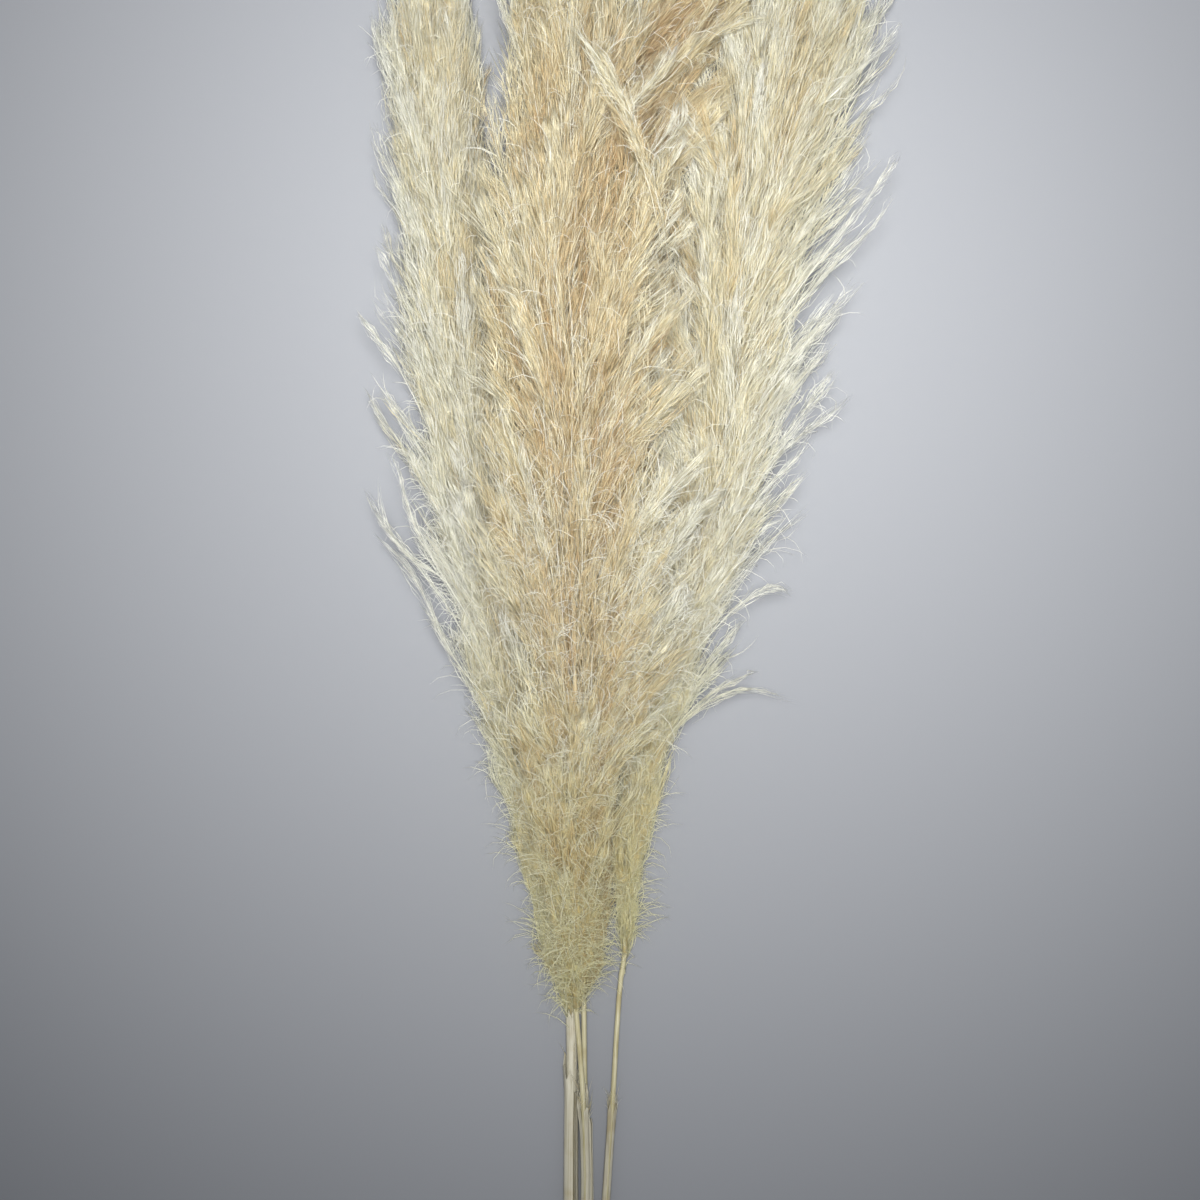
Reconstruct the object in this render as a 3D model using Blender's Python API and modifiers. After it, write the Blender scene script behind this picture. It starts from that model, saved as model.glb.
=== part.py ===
"""A bunch of four dried pampas grass stems, held by a rubber band and lying on a surface.

Metres, +Z up. The bunch lies along Y: plumes towards +Y, cut ends towards -Y, and the lowest
plumes and the band rest on z = 0. The origin is under the middle of the whole bunch. Lengths in
the tables below are millimetres, and MM turns them into metres.
"""

import math

import bmesh
import bpy
import numpy as np

MM = 0.001
GAP = 0.3                # clearance between two pieces that touch
BUNCH_NAME = "pampas_grass_bundle"

# Stalks: a round reed that tapers from the cut end to the plume, swollen at its joints.
STALK_RING_RESOLUTION = 3
STALK_STEPS = 16
JOINT_SWELLING = 0.35    # how far a joint stands out of the stalk
JOINT_HALF_LENGTH = 3.0

# Sheaths: a dry leaf rolled round the stalk, open along one line and torn at its mouth.
SHEATH_WALL = 0.35
SHEATH_MOUTH_PLAY = 0.3  # how much wider the mouth is than a close fit
SHEATH_SLIT_DEG = 26.0   # how far round the stalk the leaf's two edges stay apart
SHEATH_COLUMNS = 15
SHEATH_ROWS = 12
SHEATH_START_Y = -536.0

# Plumes: the closed shape that the feathery branches fill.
PLUME_RING_POINTS = 16
PLUME_ROUNDNESS = 2.3    # 2 is an ellipse, more is boxier
PLUME_STEPS_PER_SPAN = 2

# The rubber band near the cut ends.
BAND_Y = -440.0
BAND_WIDTH = 9.0
BAND_THICKNESS = 1.0
BAND_POINTS = 44

# Each stem: the stalk's middle line (x, y, z) from cut end to plume, its radius at both ends and
# the y of its bare joints; the sheath's mouth y, the depth of its tear and the direction that its
# slit faces (0 is +X, 90 is up); and the plume's sections (y, x low, x high, z low, z high).
STEMS = {
    "left": {
        "line": ((-43.0, -570.0, 3.95), (-40.4, -440.0, 5.05), (-41.0, -275.0, 5.2),
                 (-40.4, -192.0, 6.0), (-40.1, -164.5, 6.8)),
        "radii": (3.0, 1.7),
        "joints": (-548.0,),
        "mouth_y": -192.0, "tear": 16.0, "slit_deg": 60.0,
        "sections": ((-164.2, -41.7, -38.5, 5.2, 8.4), (-145.0, -52.5, -36.5, 0.8, 12.2),
                     (-112.5, -64.0, -40.8, 0.0, 16.0), (-47.5, -78.0, -46.7, 0.0, 26.0),
                     (50.0, -106.0, -51.9, 0.0, 40.0), (180.0, -140.0, -62.5, 0.0, 56.0),
                     (310.0, -160.0, -81.8, 0.0, 62.0), (440.0, -166.5, -92.5, 0.0, 56.0),
                     (505.0, -163.0, -102.5, 0.0, 46.0), (550.0, -157.0, -117.0, 3.0, 34.0),
                     (575.0, -141.0, -133.0, 14.0, 22.0)),
    },
    "front": {
        "line": ((-38.5, -577.0, 10.2), (-36.7, -440.0, 11.4), (-31.1, -275.0, 12.0),
                 (-33.0, -213.0, 14.0), (-37.5, -157.0, 16.5)),
        "radii": (2.5, 1.7),
        "joints": (-552.0,),
        "mouth_y": -213.0, "tear": 12.0, "slit_deg": 100.0,
        "sections": ((-156.5, -39.1, -35.9, 14.9, 18.1), (-145.0, -44.5, -32.5, 13.6, 23.0),
                     (-112.5, -51.5, -26.5, 17.2, 31.0), (-47.5, -65.5, -19.5, 27.0, 51.0),
                     (50.0, -81.5, 6.5, 41.0, 80.0), (180.0, -97.5, 16.5, 57.0, 106.0),
                     (310.0, -105.5, 13.5, 63.0, 116.0), (440.0, -94.5, 6.5, 57.2, 104.0),
                     (505.0, -84.5, -3.5, 47.6, 84.0), (550.0, -73.5, -31.5, 40.0, 62.0),
                     (577.0, -60.0, -52.0, 44.0, 52.0)),
    },
    "arching": {
        "line": ((-32.0, -558.0, 3.8), (-32.9, -440.0, 4.9), (-29.1, -275.0, 5.0),
                 (-32.0, -200.0, 6.2), (-32.3, -150.0, 7.2)),
        "radii": (2.6, 1.7),
        "joints": (-546.0,),
        "mouth_y": -225.0, "tear": 10.0, "slit_deg": 20.0,
        "sections": ((-149.7, -33.9, -30.7, 5.6, 8.8), (-132.0, -37.2, -23.5, 1.0, 13.5),
                     (-112.5, -39.8, -20.0, 0.0, 16.0), (-47.5, -45.8, -11.2, 0.0, 26.0),
                     (50.0, -51.0, -4.0, 0.0, 40.0), (180.0, -61.0, 12.2, 0.0, 56.0),
                     (310.0, -78.8, 12.2, 0.0, 62.0), (440.0, -60.0, 37.5, 0.0, 56.0),
                     (505.0, -20.0, 74.0, 0.0, 46.0), (532.0, 25.0, 84.0, 4.0, 36.0),
                     (545.0, 55.0, 75.0, 14.0, 26.0)),
    },
    "right": {
        "line": ((-21.0, -566.0, 3.6), (-25.8, -440.0, 4.8), (-16.7, -275.0, 5.2),
                 (-13.0, -220.0, 5.8), (-8.3, -145.0, 7.0), (-5.0, -122.0, 8.0)),
        "radii": (2.4, 1.6),
        "joints": (-549.0, -135.0),
        "mouth_y": -220.0, "tear": 8.0, "slit_deg": 80.0,
        "sections": ((-121.4, -6.6, -3.4, 6.4, 9.6), (-85.0, -8.5, 3.5, 2.0, 15.0),
                     (-47.5, -9.4, 9.5, 0.0, 26.0), (50.0, -2.8, 41.0, 0.0, 40.0),
                     (180.0, 13.4, 93.0, 0.0, 56.0), (310.0, 13.4, 124.0, 0.0, 62.0),
                     (440.0, 39.5, 162.0, 0.0, 56.0), (505.0, 75.5, 166.5, 0.0, 46.0),
                     (550.0, 100.0, 156.0, 3.0, 34.0), (572.0, 124.0, 134.0, 14.0, 22.0)),
    },
}


def clear_scene():
    """Remove every object that the scene starts with."""
    for old in list(bpy.data.objects):
        bpy.data.objects.remove(old, do_unlink=True)


def make_material(name, colour, roughness):
    """A plain non-metallic Principled material."""
    material = bpy.data.materials.new(name)
    material.use_nodes = True
    shader = material.node_tree.nodes["Principled BSDF"]
    shader.inputs["Base Color"].default_value = (*colour, 1.0)
    shader.inputs["Roughness"].default_value = roughness
    shader.inputs["Metallic"].default_value = 0.0
    return material


def smooth_through(at, knots, values):
    """Cubic curve through the knots that never swings past a value between two of them."""
    knots = np.asarray(knots, float)
    values = np.asarray(values, float)
    spans = np.diff(knots)
    slopes = np.diff(values) / spans
    product = slopes[:-1] * slopes[1:]
    turning = product <= 0
    total = np.where(turning, 1.0, slopes[:-1] + slopes[1:])
    inner = np.where(turning, 0.0, 2 * product / total)
    tangents = np.concatenate(([slopes[0]], inner, [slopes[-1]]))
    i = np.clip(np.searchsorted(knots, at) - 1, 0, len(spans) - 1)
    t = (at - knots[i]) / spans[i]
    return (
        (2 * t**3 - 3 * t**2 + 1) * values[i]
        + (t**3 - 2 * t**2 + t) * spans[i] * tangents[i]
        + (3 * t**2 - 2 * t**3) * values[i + 1]
        + (t**3 - t**2) * spans[i] * tangents[i + 1]
    )


def middle_at(stem, y):
    """The x and z of the stalk's middle line at y."""
    xs, ys, zs = np.array(stem["line"]).T
    return smooth_through(y, ys, xs), smooth_through(y, ys, zs)


def stalk_radius_at(stem, y):
    """The stalk's radius at y, without its joints: a straight taper."""
    ys = (stem["line"][0][1], stem["line"][-1][1])
    return np.interp(y, ys, stem["radii"])


def sheath_inner_radius_at(stem, y):
    """A close fit on the stalk at the sheath's foot that opens a little towards its mouth."""
    share = np.clip((y - SHEATH_START_Y) / (stem["mouth_y"] - SHEATH_START_Y), 0.0, 1.0)
    return stem["radii"][0] + GAP + SHEATH_MOUTH_PLAY * share


def add_object(name, data, material, collection, bunch):
    """Put a mesh or curve in the collection, with its material, parented to the bunch."""
    piece = bpy.data.objects.new(name, data)
    data.materials.append(material)
    collection.objects.link(piece)
    piece.parent = bunch
    return piece


def add_stalk(side, stem, material, collection, bunch):
    """A tapering tube along the middle line, with a short swelling at each joint."""
    first_y = stem["line"][0][1]
    last_y = stem["line"][-1][1]
    ys = list(np.linspace(first_y, last_y, STALK_STEPS))
    for joint_y in stem["joints"]:
        ys += [joint_y - JOINT_HALF_LENGTH, joint_y, joint_y + JOINT_HALF_LENGTH]
    ys = np.array(sorted(ys))
    xs, zs = middle_at(stem, ys)
    radii = stalk_radius_at(stem, ys)
    radii[np.isin(ys, stem["joints"])] += JOINT_SWELLING

    curve = bpy.data.curves.new(f"culm_{side}", "CURVE")
    curve.dimensions = "3D"
    curve.bevel_depth = MM
    curve.bevel_resolution = STALK_RING_RESOLUTION
    curve.use_fill_caps = True
    spline = curve.splines.new("POLY")
    spline.points.add(len(ys) - 1)
    for point, x, y, z, radius in zip(spline.points, xs, ys, zs, radii):
        point.co = (x * MM, y * MM, z * MM, 1.0)
        point.radius = radius
    spline.use_smooth = True
    return add_object(f"culm_{side}", curve, material, collection, bunch)


def add_sheath(side, stem, material, collection, bunch):
    """A sheet rolled round the stalk, its mouth lowest at the slit, thickened outwards."""
    mesh = bpy.data.meshes.new(f"sheath_{side}")
    sheet = bmesh.new()
    bmesh.ops.create_grid(sheet, x_segments=SHEATH_COLUMNS, y_segments=SHEATH_ROWS, size=0.5)
    for corner in sheet.verts:
        across = corner.co.x + 0.5
        along = corner.co.y + 0.5
        turn = SHEATH_SLIT_DEG / 2 + across * (360.0 - SHEATH_SLIT_DEG)
        tear = stem["tear"] * abs(math.cos(math.radians(turn / 2))) ** 1.5
        ripple = 0.12 * stem["tear"] * math.cos(math.radians(turn * 5))
        end_y = stem["mouth_y"] - tear + ripple
        y = SHEATH_START_Y + along * (end_y - SHEATH_START_Y)
        x, z = middle_at(stem, y)
        radius = sheath_inner_radius_at(stem, y)
        angle = math.radians(stem["slit_deg"] + turn)
        corner.co = (
            (x + radius * math.cos(angle)) * MM,
            y * MM,
            (z + radius * math.sin(angle)) * MM,
        )
    sheet.to_mesh(mesh)
    sheet.free()
    mesh.shade_smooth()
    piece = add_object(f"sheath_{side}", mesh, material, collection, bunch)
    wall = piece.modifiers.new("wall", "SOLIDIFY")
    wall.thickness = SHEATH_WALL * MM
    wall.offset = -1.0
    return piece


def plume_rings(stem):
    """Closed rings along the plume, each a rounded box between its low and high x and z."""
    sections = np.array(stem["sections"])
    knots = sections[:, 0]
    spans = len(knots) - 1
    steps = np.linspace(0.0, spans, spans * PLUME_STEPS_PER_SPAN + 1)
    ys = np.interp(steps, np.arange(spans + 1), knots)
    x_low, x_high, z_low, z_high = (smooth_through(ys, knots, column) for column in sections.T[1:])
    turns = np.arange(PLUME_RING_POINTS) * 2 * math.pi / PLUME_RING_POINTS
    power = 2.0 / PLUME_ROUNDNESS
    across = np.sign(np.cos(turns)) * np.abs(np.cos(turns)) ** power
    upward = np.sign(np.sin(turns)) * np.abs(np.sin(turns)) ** power
    rings = np.empty((len(ys), PLUME_RING_POINTS, 3))
    rings[:, :, 0] = (x_low + x_high)[:, None] / 2 + (x_high - x_low)[:, None] / 2 * across
    rings[:, :, 1] = ys[:, None]
    rings[:, :, 2] = (z_low + z_high)[:, None] / 2 + (z_high - z_low)[:, None] / 2 * upward
    return rings * MM


def add_plume(side, stem, material, collection, bunch):
    """A loft through the plume's rings, closed by a flat face at each end."""
    mesh = bpy.data.meshes.new(f"plume_{side}")
    body = bmesh.new()
    loops = [[body.verts.new(point) for point in ring] for ring in plume_rings(stem)]
    for low, high in zip(loops[:-1], loops[1:]):
        for i in range(PLUME_RING_POINTS):
            j = (i + 1) % PLUME_RING_POINTS
            body.faces.new((low[i], low[j], high[j], high[i]))
    body.faces.new(loops[0][::-1])
    body.faces.new(loops[-1])
    bmesh.ops.recalc_face_normals(body, faces=body.faces)
    body.to_mesh(mesh)
    body.free()
    mesh.shade_smooth()
    return add_object(f"plume_{side}", mesh, material, collection, bunch)


def band_outline(offset):
    """The taut line round all the sheathed stalks at the band, standing off by offset.

    For each direction it takes the point furthest that way on any of the round stalks.
    """
    circles = []
    for stem in STEMS.values():
        x, z = middle_at(stem, BAND_Y)
        circles.append((x, z, sheath_inner_radius_at(stem, BAND_Y) + SHEATH_WALL + offset))
    points = []
    for step in range(BAND_POINTS):
        angle = 2 * math.pi * (step + 0.5) / BAND_POINTS
        way = (math.cos(angle), math.sin(angle))
        x, z, radius = max(circles, key=lambda c: c[0] * way[0] + c[1] * way[1] + c[2])
        points.append(((x + radius * way[0]) * MM, (z + radius * way[1]) * MM))
    return points


def add_band(material, collection, bunch):
    """A flat ring between two taut outlines, as wide along Y as the band."""
    curve = bpy.data.curves.new("band", "CURVE")
    curve.dimensions = "2D"
    curve.fill_mode = "BOTH"
    curve.extrude = BAND_WIDTH / 2 * MM
    for offset in (GAP, GAP + BAND_THICKNESS):
        outline = band_outline(offset)
        spline = curve.splines.new("POLY")
        spline.points.add(len(outline) - 1)
        for point, (x, z) in zip(spline.points, outline):
            point.co = (x, z, 0.0, 1.0)
        spline.use_cyclic_u = True
    piece = add_object("band", curve, material, collection, bunch)
    piece.location = (0.0, BAND_Y * MM, 0.0)
    piece.rotation_euler = (math.radians(90.0), 0.0, 0.0)
    return piece


def main():
    """Build the bunch."""
    clear_scene()
    collection = bpy.data.collections.new(BUNCH_NAME)
    bpy.context.scene.collection.children.link(collection)
    bunch = bpy.data.objects.new("bunch", None)
    collection.objects.link(bunch)

    reed = make_material("dry_reed", (0.47, 0.41, 0.27), 0.55)
    husk = make_material("dry_husk", (0.62, 0.56, 0.42), 0.7)
    fluff = make_material("plume_fluff", (0.83, 0.76, 0.58), 0.8)
    rubber = make_material("rubber", (0.56, 0.42, 0.26), 0.5)

    for side, stem in STEMS.items():
        add_stalk(side, stem, reed, collection, bunch)
        add_sheath(side, stem, husk, collection, bunch)
        add_plume(side, stem, fluff, collection, bunch)
    add_band(rubber, collection, bunch)


main()
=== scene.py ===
"""The looks of a bunch of dried pampas grass that lies on a plain grey floor.

A plume is grown the way the flower head is: a middle stalk, long branches that leave it at a
narrow angle, locks along every branch, and silky hairs along every lock. Each stage is
worked out as whole arrays inside the plume's CAD solid, which gives the room that the branches
fill. Lengths are metres, as in the frame.
"""

import bpy
import numpy as np
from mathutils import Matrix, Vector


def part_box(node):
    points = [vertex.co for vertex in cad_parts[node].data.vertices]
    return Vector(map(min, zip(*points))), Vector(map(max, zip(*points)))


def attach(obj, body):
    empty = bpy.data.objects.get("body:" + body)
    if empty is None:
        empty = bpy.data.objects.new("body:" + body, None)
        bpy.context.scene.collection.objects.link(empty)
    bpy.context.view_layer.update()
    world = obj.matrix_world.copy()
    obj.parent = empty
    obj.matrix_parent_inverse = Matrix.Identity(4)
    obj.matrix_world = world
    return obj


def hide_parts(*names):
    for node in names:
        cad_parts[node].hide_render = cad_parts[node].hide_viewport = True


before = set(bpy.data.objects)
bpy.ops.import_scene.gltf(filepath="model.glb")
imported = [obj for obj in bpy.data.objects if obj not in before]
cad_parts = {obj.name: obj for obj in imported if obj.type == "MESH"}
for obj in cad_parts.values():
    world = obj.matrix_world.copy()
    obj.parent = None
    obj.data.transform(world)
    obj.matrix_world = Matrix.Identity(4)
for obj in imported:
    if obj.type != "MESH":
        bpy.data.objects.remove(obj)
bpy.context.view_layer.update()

SIDES = ("left", "arching", "right", "front")
MM = 0.001
UP = np.array([0.0, 0.0, 1.0])
LOW_Z = 0.4 * MM             # no fibre comes closer to the floor than this
HIGH_Z = 127.0 * MM          # nor rises above this, nor reaches past the next two
WIDEST_X = 185.0 * MM
FURTHEST_Y = 605.0 * MM
GOLDEN_ANGLE = 2.39996       # radians between one branch and the next round the stalk
LEAST_TINT = 0.07            # hair tints stay inside the colour ramp's ends
MOST_TINT = 0.93
UV_EDGE = 0.002              # UV maps keep this far inside the unit square
FLOOR_SIDE = 8.0             # metres
PICTURE_SIDE = 0.78          # metres of the bunch that the camera sees


# ---------------------------------------------------------------------------------- helpers
def unit(vectors):
    """Vectors of length one, along the last axis."""
    return vectors / np.maximum(np.linalg.norm(vectors, axis=-1, keepdims=True), 1e-12)


def across(tangents):
    """Two directions square to each tangent and to one another."""
    first = unit(np.cross(tangents, UP + np.array([0.13, 0.0, 0.0])))
    return first, np.cross(tangents, first)


def rings_of(node):
    """The rings of corners that a CAD node is made of, from its low y to its high y."""
    corners = corners_of(node)
    corners = corners[np.argsort(corners[:, 1])]
    splits = np.flatnonzero(np.diff(corners[:, 1]) > 1.0 * MM) + 1
    return np.split(corners, splits)


def corners_of(node):
    """All corners of a CAD node's mesh."""
    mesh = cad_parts[node].data
    corners = np.empty(len(mesh.vertices) * 3)
    mesh.vertices.foreach_get("co", corners)
    return corners.reshape(-1, 3)


def make_mesh(name, corners, triangles, uv, material):
    """A smooth-shaded mesh object at the origin, from whole arrays, with a UV map if given."""
    mesh = bpy.data.meshes.new(name)
    mesh.vertices.add(len(corners))
    mesh.vertices.foreach_set("co", corners.astype(np.float32).ravel())
    mesh.loops.add(triangles.size)
    mesh.loops.foreach_set("vertex_index", triangles.astype(np.int32).ravel())
    mesh.polygons.add(len(triangles))
    mesh.polygons.foreach_set("loop_start", np.arange(0, triangles.size, 3, dtype=np.int32))
    if uv is not None:
        layer = mesh.uv_layers.new(name="OFBake")
        layer.data.foreach_set("uv", uv[triangles.ravel()].astype(np.float32).ravel())
    mesh.update(calc_edges=True)
    mesh.validate()
    mesh.shade_smooth()
    mesh.materials.append(material)
    piece = bpy.data.objects.new(name, mesh)
    bpy.context.scene.collection.objects.link(piece)
    return piece


def grid_triangles(rows, columns, closed):
    """Two triangles for each cell of a grid of corners, joined round the columns if closed."""
    row = np.arange(rows - 1)[:, None]
    column = np.arange(columns if closed else columns - 1)[None, :]
    after = (column + 1) % columns
    a = row * columns + column
    b = row * columns + after
    c = a + columns
    d = b + columns
    return np.concatenate(
        [np.stack([a, b, d], -1).reshape(-1, 3), np.stack([a, d, c], -1).reshape(-1, 3)]
    )


def ease_below(values, start, end):
    """Values up to start as they are; past it, start plus room times (1 - e^(-past / room))."""
    room = end - start
    past = np.maximum(values - start, 0.0)
    return np.where(values > start, start + room * (1 - np.exp(-past / room)), values)


def keep_in_bounds(points):
    """Points eased by ease_below away from the floor and from the furthest place allowed."""
    x, y, z = points[..., 0], points[..., 1], points[..., 2]
    x = ease_below(x, WIDEST_X - 16 * MM, WIDEST_X)
    x = -ease_below(-x, WIDEST_X - 16 * MM, WIDEST_X)
    y = ease_below(y, FURTHEST_Y - 30 * MM, FURTHEST_Y)
    z = ease_below(z, HIGH_Z - 20 * MM, HIGH_Z)
    z = -ease_below(-z, -2.4 * MM, -LOW_Z)
    return np.stack([x, y, z], -1)


# ------------------------------------------------------------------------------------ plumes
class Room:
    """The space one plume may fill: its middle line and half sizes at every y."""

    def __init__(self, node, fuller=(1.0, 1.0)):
        """Half the extent of each ring of the CAD solid; fuller widens the left and right sides."""
        rings = rings_of(node)
        self.fuller = fuller
        self.y = np.array([ring[:, 1].mean() for ring in rings])
        low = np.array([ring.min(0) for ring in rings])
        high = np.array([ring.max(0) for ring in rings])
        self.x = (low[:, 0] + high[:, 0]) / 2
        self.z = (low[:, 2] + high[:, 2]) / 2
        self.wide = (high[:, 0] - low[:, 0]) / 2
        self.tall = (high[:, 2] - low[:, 2]) / 2
        self.start = self.y[0]
        self.end = self.y[-1]

    def height(self, y):
        """The share of the plume's length that lies below y."""
        return np.clip((y - self.start) / (self.end - self.start), 0, 1)

    def point(self, y, spread, angle):
        """The point at y that lies spread of the way from the middle to the rim, at angle."""
        x = np.interp(y, self.y, self.x)
        fuller = np.where(np.cos(angle) < 0, *self.fuller)
        x = x + np.interp(y, self.y, self.wide) * spread * np.cos(angle) * fuller
        z = np.interp(y, self.y, self.z)
        z = z + np.interp(y, self.y, self.tall) * spread * np.sin(angle)
        return np.stack(np.broadcast_arrays(x, y, z), -1)


def top_of_bunch(x, y):
    """The height of the bunch over a place: the highest of the plumes' tops there.

    A plume's top is its middle height plus its half height times sqrt(1 - off^2), where off is
    the way from its middle line to its rim. Outside every plume it is 0.
    """
    tops = []
    for side in SIDES:
        room = Room(f"plume_{side}")
        off = (x - np.interp(y, room.y, room.x)) / np.interp(y, room.y, room.wide)
        rise = np.sqrt(np.clip(1 - off**2, 0, 1))
        top = np.interp(y, room.y, room.z) + np.interp(y, room.y, room.tall) * rise
        tops.append(np.where(np.abs(off) < 1, top, 0.0))
    return np.max(tops, 0)


def share_across(x, y):
    """How far a place lies from the middle of the bunch, 0, to its left or right side, 1."""
    left = Room("plume_left")
    right = Room("plume_right")
    low = np.interp(y, left.y, left.x - left.wide)
    high = np.interp(y, right.y, right.x + right.wide)
    return np.abs(2 * (x - low) / (high - low) - 1)


def knots_through(room, start, reach, angle, spread, bend):
    """Four points of each branch: y climbs evenly, and the spread grows as share^bend."""
    shares = np.arange(4)[None, :] / 3
    y = start[:, None] + reach[:, None] * shares
    out = spread[:, None] * shares ** bend[:, None]
    return room.point(y, out, np.broadcast_to(angle[:, None], y.shape))


class Branches:
    """The branches of one plume, each a cubic curve through four points, with a gentle sway."""

    def __init__(self, room, rng, knots, depth, bush, locks):
        """Depth is how far out a branch ends, bush how full it is, locks how many it carries."""
        self.room = room
        self.knots = knots
        self.depth = depth
        self.bush = bush
        self.locks = locks
        self.reach = np.linalg.norm(knots[:, 3] - knots[:, 0], axis=-1)
        count = len(knots)
        self.phase = rng.uniform(0, 2 * np.pi, (count, 2))
        self.sway = rng.normal(0, 4.5 * MM, (count, 2))
        self.wave = rng.uniform(3.0, 8.0, count)

    def at(self, which, share):
        """Points at share 0 to 1: the cubic through the four knots, plus sway times share."""
        s = share
        weights = np.stack([
            -4.5 * (s - 1 / 3) * (s - 2 / 3) * (s - 1),
            13.5 * s * (s - 2 / 3) * (s - 1),
            -13.5 * s * (s - 1 / 3) * (s - 1),
            4.5 * s * (s - 1 / 3) * (s - 2 / 3),
        ], -1)
        points = np.einsum("nk,nkc->nc", weights, self.knots[which])
        turn = self.wave[which] * s
        points[:, 0] += self.sway[which, 0] * np.sin(turn + self.phase[which, 0]) * s
        points[:, 2] += self.sway[which, 1] * np.sin(turn + self.phase[which, 1]) * s
        return points

    def heading(self, which, share):
        """The way each branch runs at share."""
        step = 0.02
        low = np.clip(share - step, 0, 1)
        high = np.clip(share + step, 0, 1)
        return unit(self.at(which, high) - self.at(which, low))


class Locks:
    """Locks of hair that follow their branch and draw away from it as share^1.3.

    About a quarter of them are tight and thin, and the others are broad and loose. All are
    slimmer where the plume is narrower.
    """

    def __init__(self, branches, rng):
        """Each lock takes a random stretch of its branch, and its own girth, turn and twist."""
        self.branches = branches
        self.branch = np.repeat(np.arange(len(branches.knots)), branches.locks)
        total = len(self.branch)
        bush = branches.bush[self.branch]
        length = rng.uniform(38, 92, total) * MM
        self.span = np.clip(length / branches.reach[self.branch], 0.10, 0.72)
        self.length = self.span * branches.reach[self.branch]
        self.first = rng.uniform(0.0, 1.0, total) ** 0.85 * (1 - self.span)
        room = branches.room
        middle_y = branches.at(self.branch, self.first + self.span / 2)[:, 1]
        slim = np.clip(np.interp(middle_y, room.y, room.wide) / (30 * MM), 0.12, 1.0)
        self.away = rng.uniform(2, 12, total) * MM * bush * slim
        self.tight = rng.uniform(0, 1, total) < 0.27
        girth = np.where(self.tight, rng.uniform(1.6, 3.2, total), rng.uniform(5, 10, total))
        self.girth = girth * MM * (0.25 + 0.75 * bush) * slim
        self.turn = rng.uniform(0, 2 * np.pi, total)
        self.twist = rng.uniform(-1.6, 1.6, total)

    def at(self, which, share):
        """Points at share 0 to 1 of the locks."""
        branch = self.branch[which]
        along = self.first[which] + self.span[which] * share
        points = self.branches.at(branch, along)
        side, over = across(self.branches.heading(branch, along))
        turn = (self.turn[which] + self.twist[which] * share)[:, None]
        away = (self.away[which] * np.maximum(share, 0) ** 1.3)[:, None]
        return points + away * (side * np.cos(turn) + over * np.sin(turn))

    def heading(self, which, share):
        """The way each lock runs at share."""
        step = 0.04
        return unit(self.at(which, share + step) - self.at(which, share - step))

    def beside(self, which, share, out, turn):
        """Points at out times the lock's girth from its middle line, at turn round it.

        The girth swells as sin(pi share)^0.6 from a fifth at the ends to its full size.
        """
        side, over = across(self.heading(which, share))
        swell = 0.2 + 0.8 * np.sin(np.pi * np.clip(share, 0, 1)) ** 0.6
        off = (self.girth[which] * swell * out)[:, None]
        turn = turn[:, None]
        return self.at(which, share) + off * (side * np.cos(turn) + over * np.sin(turn))

    def depth(self, which, share):
        """How far out from the plume's middle the lock is, 0 to about 1."""
        branch = self.branch[which]
        along = self.first[which] + self.span[which] * share
        return self.branches.depth[branch] * along


def fibres(name, spines, radius, tint, height, material):
    """Closed spindles: a point, then rings of three corners, then a point, along each spine.

    Spines are given as (fibre, station, 3). The corner at angle a of a ring is its spine point plus the
    radius times its fullness times (cos a, sin a) in the plane across the fibre. The UV map holds
    the fibre's tint, lighter to its tip, and its height in the plume.
    """
    count, stations, _ = spines.shape
    spines = keep_in_bounds(spines)
    side, over = across(unit(spines[:, -1] - spines[:, 0]))
    angles = np.arange(3) * 2 * np.pi / 3
    ring = side[:, None] * np.cos(angles)[:, None] + over[:, None] * np.sin(angles)[:, None]
    fullness = np.linspace(1.0, 0.7, stations - 2)[None, :, None, None]
    rings = spines[:, 1:-1, None] + ring[:, None] * radius[:, None, None, None] * fullness
    corners = np.concatenate([spines[:, :1], rings.reshape(count, -1, 3), spines[:, -1:]], 1)
    corners[..., 2] = np.maximum(corners[..., 2], 0.5 * LOW_Z)
    tip = 1 + 3 * (stations - 2)

    column = np.arange(3)
    after = (column + 1) % 3
    faces = [np.stack([np.zeros(3, int), 1 + after, 1 + column], -1)]
    for station in range(stations - 3):
        low = 1 + 3 * station
        faces.append(np.stack([low + column, low + after, low + 3 + after], -1))
        faces.append(np.stack([low + column, low + 3 + after, low + 3 + column], -1))
    faces.append(np.stack([tip - 3 + column, tip - 3 + after, np.full(3, tip)], -1))
    pattern = np.concatenate(faces)
    triangles = (np.arange(count) * (tip + 1))[:, None, None] + pattern

    share = np.arange(stations) / (stations - 1)
    nudge = np.array([[-1.0, 0.0], [1.0, 0.0], [0.0, 1.6]]) * 0.0015
    u = tint[:, None] + 0.12 * (share - 0.5)
    v = height[:, None] + 0.02 * share
    uv = np.stack([u, v], -1)
    ring_uv = (uv[:, 1:-1, None] + nudge).reshape(count, -1, 2)
    uv = np.concatenate([uv[:, :1], ring_uv, uv[:, -1:]], 1).reshape(-1, 2)
    uv = np.clip(uv, UV_EDGE, 1 - UV_EDGE)
    return make_mesh(name, corners.reshape(-1, 3), triangles.reshape(-1, 3), uv, material)


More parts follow.
